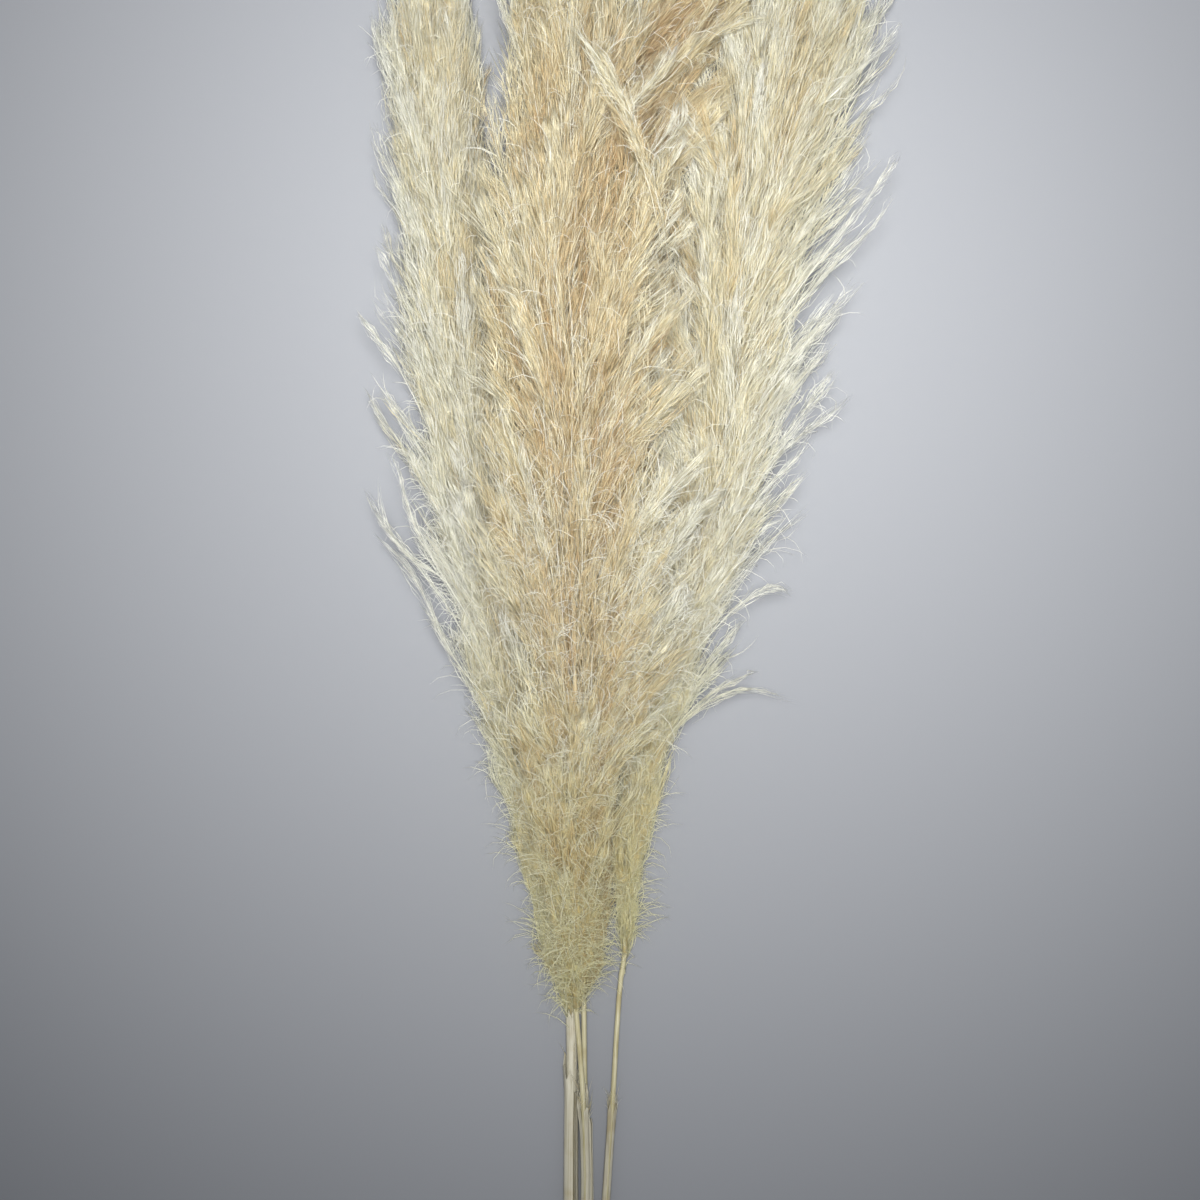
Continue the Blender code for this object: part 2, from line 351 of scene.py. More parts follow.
def tapered_tubes(name, spines, radii, tint, height, sides, material):
    """Closed round tubes along spines, with a radius at each station and a flat cap at each end.

    The UV map holds the tube's tint, a little different round it, and its height in the plume.
    """
    count, stations, _ = spines.shape
    spines = keep_in_bounds(spines)
    heading = unit(np.gradient(spines, axis=1))
    side, over = across(heading)
    angles = np.arange(sides) * 2 * np.pi / sides
    ring = (
        side[:, :, None] * np.cos(angles)[:, None] + over[:, :, None] * np.sin(angles)[:, None]
    )
    corners = spines[:, :, None] + ring * radii[:, :, None, None]
    corners = np.concatenate([corners.reshape(count, -1, 3), spines[:, :1], spines[:, -1:]], 1)
    corners[..., 2] = np.maximum(corners[..., 2], 0.5 * LOW_Z)
    wall = grid_triangles(stations, sides, True)
    column = np.arange(sides)
    after = (column + 1) % sides
    foot = stations * sides
    last = (stations - 1) * sides
    low_cap = np.stack([after, column, np.full(sides, foot)], -1)
    high_cap = np.stack([last + column, last + after, np.full(sides, foot + 1)], -1)
    pattern = np.concatenate([wall, low_cap, high_cap])
    triangles = (np.arange(count) * (foot + 2))[:, None, None] + pattern
    round_it = 0.02 * np.cos(angles)
    u = np.broadcast_to(tint[:, None, None] + round_it, (count, stations, sides))
    v = np.broadcast_to(height[:, :, None] + 0.004 * np.sin(angles), (count, stations, sides))
    ends_u = np.stack([tint, tint], 1)
    ends_v = np.stack([height[:, 0] - 0.004, height[:, -1] + 0.004], 1)
    u = np.concatenate([u.reshape(count, -1), ends_u], 1)
    v = np.concatenate([v.reshape(count, -1), ends_v], 1)
    uv = np.clip(np.stack([u, v], -1).reshape(-1, 2), UV_EDGE, 1 - UV_EDGE)
    return make_mesh(name, corners.reshape(-1, 3), triangles.reshape(-1, 3), uv, material)


def cone(heading, rng, opening):
    """Headings turned away from the given ones by about opening, evenly all round."""
    side, over = across(heading)
    turn = rng.uniform(0, 2 * np.pi, len(heading))[:, None]
    lean = (np.abs(rng.normal(0, 1, len(heading))) * opening)[:, None]
    return unit(heading + lean * (side * np.cos(turn) + over * np.sin(turn)))


def sideways(heading, rng):
    """A random direction square to each heading."""
    side, over = across(heading)
    turn = rng.uniform(0, 2 * np.pi, len(heading))[:, None]
    return side * np.cos(turn) + over * np.sin(turn)


def round_the_stalk(room, rng, count):
    """Knots of branches set all round the middle stalk by the golden angle.

    A branch's spread is 0.15 plus 0.82 times the square root of an even random number. Its full
    reach grows evenly up the lowest third. Every twelfth branch starts at the very foot with 0.6
    of its reach, and near the tip the reach ends with the plume.
    """
    length = room.end - room.start
    place = np.sort(rng.uniform(0, 1, count)) * 0.90
    at_foot = np.arange(count) % 12 == 0
    place = np.where(at_foot, place * 0.06 - 0.02, place)
    start = room.start + place * length
    angle = np.arange(count) * GOLDEN_ANGLE + rng.normal(0, 0.3, count)
    spread = 0.15 + 0.82 * np.sqrt(rng.uniform(0, 1, count))
    full = np.interp(place, [0.0, 0.3], [105.0, 170.0]) * MM * np.where(at_foot, 0.6, 1.0)
    reach = full * rng.uniform(0.6, 1.1, count)
    reach = np.minimum(reach, (room.end - start) * rng.uniform(0.75, 1.0, count))
    bend = rng.uniform(0.6, 1.15, count)
    return knots_through(room, start, reach, angle, spread, bend), spread


def on_one_side(room, rng, count, facing, fan, spreads, starts):
    """Knots of long loose branches on one side: their angle is facing plus a spread of fan."""
    start = rng.uniform(*starts, count) * MM
    angle = np.radians(facing + rng.normal(0, fan, count))
    spread = rng.uniform(*spreads, count)
    reach = rng.uniform(85, 170, count) * MM
    reach = np.minimum(reach, room.end - start)
    bend = rng.uniform(1.0, 1.8, count)
    return knots_through(room, start, reach, angle, spread, bend), spread


def silk_on(name, locks, rng, count, plan, material):
    """Silky hairs that flow along their lock; three in ten stand off it, three in ten are thick.

    A hair starts near the lock's middle line and ends at flare times the lock's girth. Its tint
    is the plume's plus its lock's, paler with the share across the bunch and with the depth in
    the plume, and darker at the foot by 0.12 e^(-(height / 0.22)^2). The paleness with depth is
    painted light on the plume's outer hair and painted shade in its core.
    """
    which = rng.choice(len(locks.branch), count, p=locks.weight)
    first = rng.uniform(0, 0.9, count)
    length = rng.uniform(20, 44, count) * MM
    loose = rng.uniform(0, 1, count) < 0.3
    length = np.where(loose, 0.65 * length, length)
    last = np.minimum(first + length / locks.length[which], 1.15)
    middle = 0.55 * first + 0.45 * last
    turn = rng.uniform(0, 2 * np.pi, count)
    out = np.sqrt(rng.uniform(0, 1, count))
    flare = np.where(loose, rng.uniform(1.4, 2.6, count), rng.uniform(0.8, 1.7, count))
    root = locks.beside(which, first, 0.2 * out, turn)
    tip = locks.beside(which, last, flare * out, turn)
    tip = tip + rng.normal(0, 0.045, (count, 3)) * length[:, None]
    heading = unit(tip - root)
    bow = sideways(heading, rng) * (length * rng.uniform(0.0, 0.13, count))[:, None]
    half = locks.beside(which, middle, 0.85 * out, turn) * 0.5 + (root + tip) * 0.25 + bow
    spines = np.stack([root, half, tip], 1)
    thick = rng.uniform(0, 1, count) < 0.3
    radius = np.where(thick, rng.uniform(0.20, 0.30, count), rng.uniform(0.09, 0.17, count)) * MM
    shade = plan["tint"] + locks.shade[which] + rng.normal(0, 0.10, count)
    sideways_share = share_across(root[:, 0], root[:, 1])
    height = locks.branches.room.height(root[:, 1])
    # painted light and shade: paler out at the plume's rim and darker in its core, by depth; also paler
    # towards the bunch's sides
    paler = 0.4 * locks.depth(which, first) + 0.9 * sideways_share - 0.75
    shade = shade + plan["edge"] * paler * np.interp(height, [0.0, 0.35], [0.25, 1.0])
    shade = shade - 0.12 * np.exp(-((height / 0.22) ** 2))
    shade = np.clip(shade, LEAST_TINT, MOST_TINT)
    return fibres(name, spines, radius, shade, height, material)


def down_on(name, branches, rng, count, plan, material):
    """The soft under-down that fills the half of the plume nearer the floor.

    Each tuft has an even random place in that half. It runs along the plume: its tip keeps about
    the same share of the way to the rim as its root, and is drawn out by about a tenth.
    """
    room = branches.room
    y = rng.choice(room.y, count * 3) + rng.uniform(-30, 30, count * 3) * MM
    size = np.interp(y, room.y, room.wide)
    y = y[rng.uniform(0, size.max(), len(y)) < size][:count]
    y = np.clip(y, room.start, room.end - 20 * MM)
    count = len(y)
    spread = 0.72 * np.sqrt(rng.uniform(0, 1, count))
    angle = rng.uniform(-1.0, 0.0, count) * np.pi
    length = rng.uniform(24, 46, count) * MM
    length = np.minimum(length, room.end - y)
    root = room.point(y, spread, angle)
    tip = room.point(y + length, spread + rng.normal(0.1, 0.14, count), angle)
    middle = room.point(y + 0.4 * length, spread, angle)
    middle = middle + sideways(unit(tip - root), rng) * (0.05 * length)[:, None]
    radius = rng.uniform(0.28, 0.6, count) * MM
    shade = plan["tint"] - 0.04 + rng.normal(0, 0.06, count)
    height = room.height(y)
    spines = np.stack([root, middle, tip], 1)
    shade = np.clip(shade, LEAST_TINT, MOST_TINT)
    return fibres(name, spines, radius, shade, height, material)


def curls_on(name, locks, rng, count, plan, material):
    """Loose curled hairs, each an arc of a circle of 0.6 to 2.9 radians.

    They are commonest a fifth of the way up the plume, by e^(-((low - 0.2) / 0.18)^2), and on
    locks that can be seen.
    """
    low = locks.branches.room.height(locks.branches.knots[locks.branch, 0, 1])
    weight = (0.25 + np.exp(-(((low - 0.2) / 0.18) ** 2))) * locks.seen**1.5 * locks.length
    weight = weight * (locks.branches.bush[locks.branch] > 0.2)
    which = rng.choice(len(low), count, p=weight / weight.sum())
    share = rng.uniform(0, 1, count)
    turn = rng.uniform(0.1 * np.pi, 0.9 * np.pi, count)
    root = locks.beside(which, share, 0.9, turn)
    lift = np.array([0.0, -0.1, 0.45])
    heading = cone(unit(locks.heading(which, share) + lift), rng, 0.4)
    bend = sideways(heading, rng)
    curl = rng.uniform(0.6, 2.9, count)[:, None]
    length = rng.uniform(13, 38, count)[:, None] * MM
    spines = np.stack([
        root + length * (np.sin(curl * s) * heading + (1 - np.cos(curl * s)) * bend) / curl
        for s in np.linspace(0, 1, 5)
    ], 1)
    radius = rng.uniform(0.14, 0.30, count) * MM
    shade = plan["tint"] + 0.45 + rng.normal(0, 0.12, count)
    shade = np.clip(shade, LEAST_TINT, MOST_TINT)
    height = locks.branches.room.height(root[:, 1])
    return fibres(name, spines, radius, shade, height, material)


def branch_stalks(name, branches, rng, plan, material):
    """The thin stalk of every branch."""
    count = len(branches.knots)
    which = np.arange(count)
    shares = np.linspace(0.0, 0.95, 7)
    spines = np.stack([branches.at(which, np.full(count, s)) for s in shares], 1)
    radii = np.outer(rng.uniform(0.34, 0.52, count), np.linspace(1.0, 0.3, 7)) * MM
    shade = np.clip(plan["tint"] + 0.18 + rng.normal(0, 0.08, count), 0.1, 0.9)
    height = branches.room.height(spines[:, :, 1])
    return tapered_tubes(name, spines, radii, shade, height, 3, material)


def middle_stalk(name, room, foot_radius, tint, material):
    """The plume's own stalk: it goes on from the reed and thins to the tip."""
    ys = np.linspace(room.start + 0.3 * MM, room.end - 30 * MM, 60)
    spine = room.point(ys, 0.0, 0.0)[None]
    share = np.linspace(0, 1, 60)
    radii = (foot_radius * (1 - 0.8 * share))[None]
    return tapered_tubes(
        name, spine, radii, np.array([tint]), room.height(spine[:, :, 1]), 12, material
    )


# the plan of each plume; tint and edge are steps of the colour ramp, fuller is for each side;
# # edge sets the painted light on a plume's outer hair and painted shade in its core, and how much
# # paler the hair grows towards the bunch's sides
# sides: count, facing in degrees, fan, least and most spread, first and last start in mm, bush
# wisps: four points in mm that a single loose branch passes through, wisp_bush: how full they are
PLUMES = {
    "left": {
        "seed": 11, "branches": 230, "silk": 54000, "down": 7000, "curls": 2800, "fuller": (1.0, 1.2),
        "tint": 0.80, "edge": 0.34,
        "sides": (
            (84, 180.0, 26.0, (0.9, 1.28), (-60.0, 440.0), 0.45),
            (44, 30.0, 35.0, (0.9, 1.25), (-60.0, 300.0), 0.9),
        ),
        "wisp_bush": 0.08,
        "wisps": (
            ((-135, 230, 50), (-150, 262, 54), (-168, 288, 50), (-190, 303, 44)),
            ((-100, 90, 40), (-128, 140, 52), (-150, 185, 50), (-166, 212, 40)),
            ((-98, 70, 36), (-125, 112, 46), (-150, 150, 44), (-170, 188, 34)),
            ((-95, 50, 34), (-118, 80, 40), (-140, 120, 38), (-165, 154, 30)),
            ((-88, 20, 30), (-104, 50, 36), (-120, 78, 34), (-138, 106, 28)),
            ((-112, 110, 44), (-134, 136, 50), (-156, 150, 46), (-163, 196, 40)),
        ),
    },
    "arching": {
        "seed": 23, "branches": 220, "silk": 38000, "down": 6000, "curls": 1600, "fuller": (1.0, 1.3),
        "tint": 0.50, "edge": 0.26,
        "sides": (
            (44, 30.0, 40.0, (1.0, 1.5), (100.0, 420.0), 0.8),
        ),
        "wisp_bush": 0.08,
        "wisps": (
            ((20, 455, 40), (48, 480, 46), (72, 494, 44), (100, 500, 36)),
        ),
    },
    "right": {
        "seed": 37, "branches": 240, "silk": 70000, "down": 7000, "curls": 3400, "fuller": (1.4, 1.0),
        "tint": 0.76, "edge": 0.36,
        "sides": (
            (84, 0.0, 26.0, (0.9, 1.6), (-60.0, 440.0), 0.3),
            (90, 150.0, 34.0, (0.6, 1.4), (-60.0, 420.0), 0.9),
        ),
        "wisp_bush": 0.08,
        "wisps": (
            ((8, 5, 30), (36, 40, 38), (70, 56, 36), (108, 50, 24)),
            ((14, 10, 34), (40, 46, 42), (62, 60, 40), (84, 68, 32)),
            ((40, 80, 40), (62, 105, 46), (84, 122, 44), (103, 122, 34)),
            ((48, 110, 44), (66, 138, 52), (84, 158, 50), (104, 170, 40)),
            ((60, 150, 50), (80, 178, 58), (98, 200, 54), (114, 222, 44)),
            ((95, 300, 50), (122, 336, 60), (150, 372, 56), (174, 404, 44)),
            ((92, 290, 50), (120, 320, 56), (148, 352, 52), (172, 381, 40)),
            ((80, 240, 46), (98, 262, 54), (112, 280, 52), (125, 300, 44)),
        ),
    },
    "front": {
        "seed": 53, "branches": 260, "silk": 70000, "down": 8000, "curls": 5800, "fuller": (1.1, 1.3),
        "tint": 0.66, "edge": 0.26,
        "sides": (
            (70, -12.0, 32.0, (0.8, 1.35), (-60.0, 400.0), 0.9),
            (34, 192.0, 28.0, (0.8, 1.2), (-40.0, 320.0), 0.9),
        ),
        "wisp_bush": 0.55,
        "wisps": (
            ((18, 340, 94), (4, 398, 112), (-18, 440, 117), (-53, 500, 114)),
            ((22, 334, 90), (8, 392, 110), (-14, 436, 115), (-48, 504, 112)),
        ),
    },
}
MOST_HAIRS = 32000           # hairs in one piece


def grow_branches(room, rng, plan):
    """All branches of a plume: those round its stalk, the long ones at its sides, and its wisps."""
    knots, depth = round_the_stalk(room, rng, plan["branches"])
    parts = [(knots, depth, np.ones(len(knots)), np.full(len(knots), 6))]
    for count, facing, fan, spreads, starts, bush in plan["sides"]:
        knots, depth = on_one_side(room, rng, count, facing, fan, spreads, starts)
        parts.append((knots, depth, np.full(count, bush), np.full(count, 5)))
    wisps = np.array(plan["wisps"]) * MM
    count = len(wisps)
    parts.append((wisps, np.full(count, 1.5), np.full(count, plan["wisp_bush"]), np.full(count, 5)))
    knots, depth, bush, locks = (np.concatenate(column) for column in zip(*parts))
    return Branches(room, rng, knots, depth, bush, locks)


def grow_plume(side, material):
    """One plume: stalk, branches, down, curls, and silky hairs in pieces of a workable size.

    A lock is darker the deeper it is buried under the top of the bunch, by 0.30 (1 - e^(-depth /
    20 mm)), which is painted shade, and carries more hairs the nearer it lies to the top, by
    0.14 + e^(-depth / 13 mm). The foot carries fewer.
    """
    plan = PLUMES[side]
    rng = np.random.default_rng(plan["seed"])
    room = Room(f"plume_{side}", plan["fuller"])
    branches = grow_branches(room, rng, plan)
    locks = Locks(branches, rng)
    branch_shade = rng.normal(0, 0.08, len(branches.knots))
    locks.shade = branch_shade[locks.branch] + rng.normal(0, 0.06, len(locks.branch))
    locks.shade += np.where(locks.tight, 0.20, 0.0)
    locks.shade += 0.15 * (1 - branches.bush[locks.branch])
    every = np.arange(len(locks.branch))
    halfway = np.full(len(every), 0.5)
    middle = locks.at(every, halfway)
    buried = np.maximum(top_of_bunch(middle[:, 0], middle[:, 1]) - middle[:, 2], 0.0)
    locks.seen = 0.14 + np.exp(-buried / (13 * MM))
    # painted shade: locks buried under the top of the bunch are darker
    locks.shade -= 0.30 * (1 - np.exp(-buried / (20 * MM)))
    foot = 1 - 0.72 * np.exp(-((middle[:, 1] - room.start) / (75 * MM)) ** 2)
    bush = branches.bush[locks.branch]
    weight = locks.seen * locks.length * foot * (0.06 + 0.94 * bush**1.2)
    weight = np.where(locks.tight, 0.85 * weight, weight)
    locks.weight = weight / weight.sum()
    pieces = [
        middle_stalk(f"plume_{side}_stalk", room, 1.55 * MM, 0.35, material),
        branch_stalks(f"plume_{side}_branches", branches, rng, plan, material),
        down_on(f"plume_{side}_down", branches, rng, plan["down"], plan, material),
        curls_on(f"plume_{side}_curls", locks, rng, plan["curls"], plan, material),
    ]
    shares = int(np.ceil(plan["silk"] / MOST_HAIRS))
    for part in range(shares):
        name = f"plume_{side}_silk_{part + 1}"
        pieces.append(silk_on(name, locks, rng, plan["silk"] // shares, plan, material))
    for piece in pieces:
        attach(piece, "root")
        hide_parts(f"plume_{side}")
    return pieces


# ------------------------------------------------------------------------------------- stems
def facing_out(corners, triangles):
    """The triangles of a closed surface, turned round if they enclose a negative volume."""
    a, b, c = (corners[triangles[:, k]] for k in range(3))
    volume = np.einsum("nc,nc->n", a, np.cross(b, c)).sum()
    return triangles if volume > 0 else triangles[:, ::-1]


class Reed:
    """The middle line and the radius of a CAD stalk at every y."""

    def __init__(self, side):
        """The middle and half the width of every ring of the CAD stalk."""
        rings = rings_of(f"culm_{side}")
        low = np.array([ring.min(0) for ring in rings])
        high = np.array([ring.max(0) for ring in rings])
        self.y = (low[:, 1] + high[:, 1]) / 2
        self.x = (low[:, 0] + high[:, 0]) / 2
        self.z = (low[:, 2] + high[:, 2]) / 2
        self.radius = (high[:, 0] - low[:, 0]) / 2

    def round_it(self, y, radius, turn):
        """Points at radius from the middle line, at y and turn."""
        x = np.interp(y, self.y, self.x) + radius * np.cos(turn)
        z = np.interp(y, self.y, self.z) + radius * np.sin(turn)
        return np.stack(np.broadcast_arrays(x, y, z), -1)

    def radius_at(self, y):
        """The stalk's radius at y."""
        return np.interp(y, self.y, self.radius)


def make_culm(side, reed, rng, material):
    """A stalk: the CAD radius at each y, ribbed by two cosine waves round it, with one long groove.

    The cut end is a little slanted and its pith is sunk; the top closes to a point in the plume.
    """
    turn = np.arange(32) * 2 * np.pi / 32
    y = np.union1d(np.linspace(reed.y[0], reed.y[-1], 120), reed.y)
    butt = reed.radius[0]
    cut = y[0] + np.array([0.9, 0.7, 0.1, 0.0, 0.0]) * MM
    y = np.concatenate([cut, y[1:], y[-1:]])
    full = np.concatenate([[0.001, 0.45, 0.68, 0.74, 0.98], np.ones(len(y) - 6), [0.001]])
    radius = reed.radius_at(y) * full
    radius[:5] = butt * full[:5]
    phase = rng.uniform(0, 2 * np.pi, 3)
    ribs = 0.014 * np.cos(9 * turn + phase[0]) + 0.010 * np.cos(14 * turn + phase[1])
    twist = phase[2] + 4.0 * (y - y[0])[:, None]
    from_groove = np.angle(np.exp(1j * (turn[None, :] - twist)))
    groove = 0.12 * np.exp(-((from_groove / 0.35) ** 2))
    radius = radius[:, None] * (1 + ribs - groove)
    slant = 0.7 * butt * (1 + np.cos(turn))[None, :] * np.exp(-(y - reed.y[0]) / (6 * MM))[:, None]
    rows = y[:, None] + slant * (y < y[0] + 40 * MM)[:, None]
    corners = reed.round_it(rows, radius, turn[None, :])
    triangles = grid_triangles(len(y), len(turn), True)
    corners = corners.reshape(-1, 3)
    triangles = facing_out(corners, triangles)
    return make_mesh(f"culm_{side}_reed", corners, triangles, None, material)


def make_sheath(name, reed, rng, start, mouth, tear, slit, gap, flare, slack, material):
    """A dry leaf sheath: a sheet rolled round the stalk, with a slit along it and a torn mouth.

    At a share a of the way round, its edge lies tear times |cos(pi a)|^1.5 below the mouth, and
    slivers rise from it as triangle waves. Its radius is the stalk's plus gap, veined by a cosine
    wave, and near the mouth each sliver bends out as the square of its length.
    """
    columns = 46
    rows = 60
    a = np.linspace(0, 1, columns)
    slit_turn, slit_width = slit
    turn = slit_turn + slit_width / 2 + a * (2 * np.pi - slit_width)
    slivers = 6
    number = np.clip((a * slivers).astype(int), 0, slivers - 1)
    within = a * slivers - number
    rise = rng.uniform(2, 11, slivers)[number] * MM * (1 - np.abs(2 * within - 1)) ** 1.3
    end = mouth - tear * np.abs(np.cos(np.pi * a)) ** 1.5 + rise
    t = 1 - (1 - np.linspace(0, 1, rows)) ** 1.7
    y = start + t[:, None] * (end - start)[None, :]
    near_mouth = np.clip((y - (end - 26 * MM)) / (26 * MM), 0, 1)
    bend = rng.uniform(0.25, 1.0, slivers)[number] * flare * near_mouth**2
    vein = 0.05 * MM * np.cos(2 * np.pi * 15 * a)
    edge = np.exp(-a / 0.04) + np.exp(-(1 - a) / 0.04)
    curl = 0.4 * MM * edge * np.clip((y + 400 * MM) / (120 * MM), 0, 1)
    above_band = np.clip((y + 420 * MM) / (110 * MM), 0, 1)
    loose = slack * above_band**2 * (3 - 2 * above_band)
    inner = reed.radius_at(y) + gap + 0.06 * MM + vein + bend + curl + loose
    wall = 0.24 * MM
    inside = reed.round_it(y, inner, turn[None, :])
    outside = reed.round_it(y, inner + wall, turn[None, :])
    corners = np.concatenate([outside, inside[:, ::-1]], 1)
    corners[..., 2] = np.maximum(corners[..., 2], 0.05 * MM)
    ring = 2 * columns
    i = np.arange(columns - 1)
    low_edge = np.concatenate([
        np.stack([i + 1, i, ring - 1 - i], -1), np.stack([i + 1, ring - 1 - i, ring - 2 - i], -1)
    ])
    high_edge = (rows - 1) * ring + np.concatenate([
        np.stack([i, i + 1, ring - 1 - i], -1), np.stack([i + 1, ring - 2 - i, ring - 1 - i], -1)
    ])
    triangles = np.concatenate([grid_triangles(rows, ring, True), low_edge, high_edge])
    corners = corners.reshape(-1, 3)
    return make_mesh(name, corners, facing_out(corners, triangles), None, material)


def slit_of(side, reed):
    """The middle direction and the width of the slit in a CAD sheath, from its lowest corners."""
    corners = corners_of(f"sheath_{side}")
    corners = corners[corners[:, 1] < corners[:, 1].min() + 2 * MM]
    x = np.interp(corners[:, 1], reed.y, reed.x)
    z = np.interp(corners[:, 1], reed.y, reed.z)
    turn = np.unique(np.round(np.arctan2(corners[:, 2] - z, corners[:, 0] - x), 3))
    gaps = np.diff(np.append(turn, turn[0] + 2 * np.pi))
    widest = np.argmax(gaps)
    return turn[widest] + gaps[widest] / 2, gaps[widest]


# how far the mouth is torn down, how far its slivers bend out, how loosely it sits: all in mm
SHEATHS = {
    "left": {"tear": 16.0, "flare": 1.4, "slack": 2.1},
    "arching": {"tear": 10.0, "flare": 1.2, "slack": 0.2},
    "right": {"tear": 8.0, "flare": 0.9, "slack": 0.2},
    "front": {"tear": 12.0, "flare": 2.0, "slack": 0.4},
}


def make_stem(side, reed_material, sheath_material, fibre):
    """One stalk with its sheath and the fine shreds at the sheath's mouth."""
    rng = np.random.default_rng(PLUMES[side]["seed"] + 500)
    reed = Reed(side)
    culm = make_culm(side, reed, rng, reed_material)
    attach(culm, "root")
    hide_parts(f"culm_{side}")
    corners = corners_of(f"sheath_{side}")
    x = np.interp(corners[:, 1], reed.y, reed.x)
    z = np.interp(corners[:, 1], reed.y, reed.z)
    away = np.hypot(corners[:, 0] - x, corners[:, 2] - z) - reed.radius_at(corners[:, 1])
    start = corners[:, 1].min()
    mouth = corners[:, 1].max()
    plan = SHEATHS[side]
    pieces = [make_sheath(
        f"sheath_{side}_leaf", reed, rng, start, mouth, plan["tear"] * MM, slit_of(side, reed),
        np.percentile(away, 2), plan["flare"] * MM, plan["slack"] * MM, sheath_material,
    )]
    if side == "left":
        pieces.append(make_sheath(
            "sheath_left_bract", reed, rng, -214 * MM, -163 * MM, 7 * MM, (4.9, 0.9),
            0.05 * MM, 0.9 * MM, 1.5 * MM, sheath_material,
        ))
    count = 26
    turn = rng.uniform(0, 2 * np.pi, count)
    y = mouth - rng.uniform(0, plan["tear"], count) * MM
    root = reed.round_it(y, reed.radius_at(y) + 0.5 * MM, turn)
    ahead = np.stack([np.cos(turn) * 0.16, np.ones(count), np.sin(turn) * 0.16], -1)
    heading = cone(unit(ahead), rng, 0.15)
    bent = sideways(heading, rng) * rng.uniform(0.05, 0.5, count)[:, None]
    length = rng.uniform(5, 17, count)[:, None] * MM
    spines = np.stack(
        [root + length * (s * heading + s**2 * bent) for s in np.linspace(0, 1, 4)], 1
    )
    radius = rng.uniform(0.10, 0.20, count) * MM
    tint = rng.uniform(0.3, 0.9, count)
    pieces.append(fibres(
        f"sheath_{side}_shreds", spines, radius, tint, rng.uniform(0, 0.9, count), fibre
    ))
    for piece in pieces:
        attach(piece, "root")
        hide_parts(f"sheath_{side}")


def make_band(material):
    """A rubber band wound three times round the stems.

    Its path takes, for each direction, the CAD band's furthest corner that way, drawn in by half
    its thickness. It steps along the stems as it winds, and crosses back over itself on top. The
    strand's outline is a rounded oblong: |cos|^0.6 of its width by |sin|^0.6 of its thickness.
    """
    corners = corners_of("band")
    low, high = corners[:, 1].min(), corners[:, 1].max()
    turns = 3
    stations = 300
    share = np.arange(stations) / stations
    phi = np.pi / 2 + 2 * np.pi * turns * share
    out = np.stack([np.cos(phi), np.zeros(stations), np.sin(phi)], -1)
    furthest = np.argmax(corners @ out.T, 0)
    thick = 0.5 * MM
    wide = 0.95 * MM
    step = 2.9 * MM
    back = np.clip((share - 0.94) / 0.06, 0, 1)
    forth = np.clip(share / 0.94, 0, 1)
    path = corners[furthest] - out * thick
    path[:, 1] = (low + high) / 2 - step + 2 * step * (forth - back * back * (3 - 2 * back))
    path = path + out * (1.1 * MM * np.sin(np.pi * back) ** 0.5)[:, None]
    a = np.arange(12) * 2 * np.pi / 12
    flat = np.sign(np.cos(a)) * np.abs(np.cos(a)) ** 0.6 * wide
    proud = np.sign(np.sin(a)) * np.abs(np.sin(a)) ** 0.6 * thick
    along = np.array([0.0, 1.0, 0.0])
    rings = path[:, None] + flat[None, :, None] * along + proud[None, :, None] * out[:, None]
    closed = np.concatenate([rings, rings[:1]])
    triangles = grid_triangles(stations + 1, len(a), True) % (stations * len(a))
    corners = closed[:-1].reshape(-1, 3)
    piece = make_mesh("band_rubber", corners, facing_out(corners, triangles), None, material)
    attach(piece, "root")
    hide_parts("band")


# --------------------------------------------------------------------------------- materials
def new_material(name):
    """A material with its Principled shader, ready to be linked."""
    material = bpy.data.materials.new(name)
    material.use_nodes = True
    tree = material.node_tree
    return material, tree, tree.nodes["Principled BSDF"]


def colour_ramp(tree, stops):
    """A colour ramp node through (position, colour) stops."""
    node = tree.nodes.new("ShaderNodeValToRGB")
    ramp = node.color_ramp
    while len(ramp.elements) < len(stops):
        ramp.elements.new(0.5)
    for element, (position, colour) in zip(ramp.elements, stops):
        element.position = position
        element.color = (*colour, 1.0)
    return node


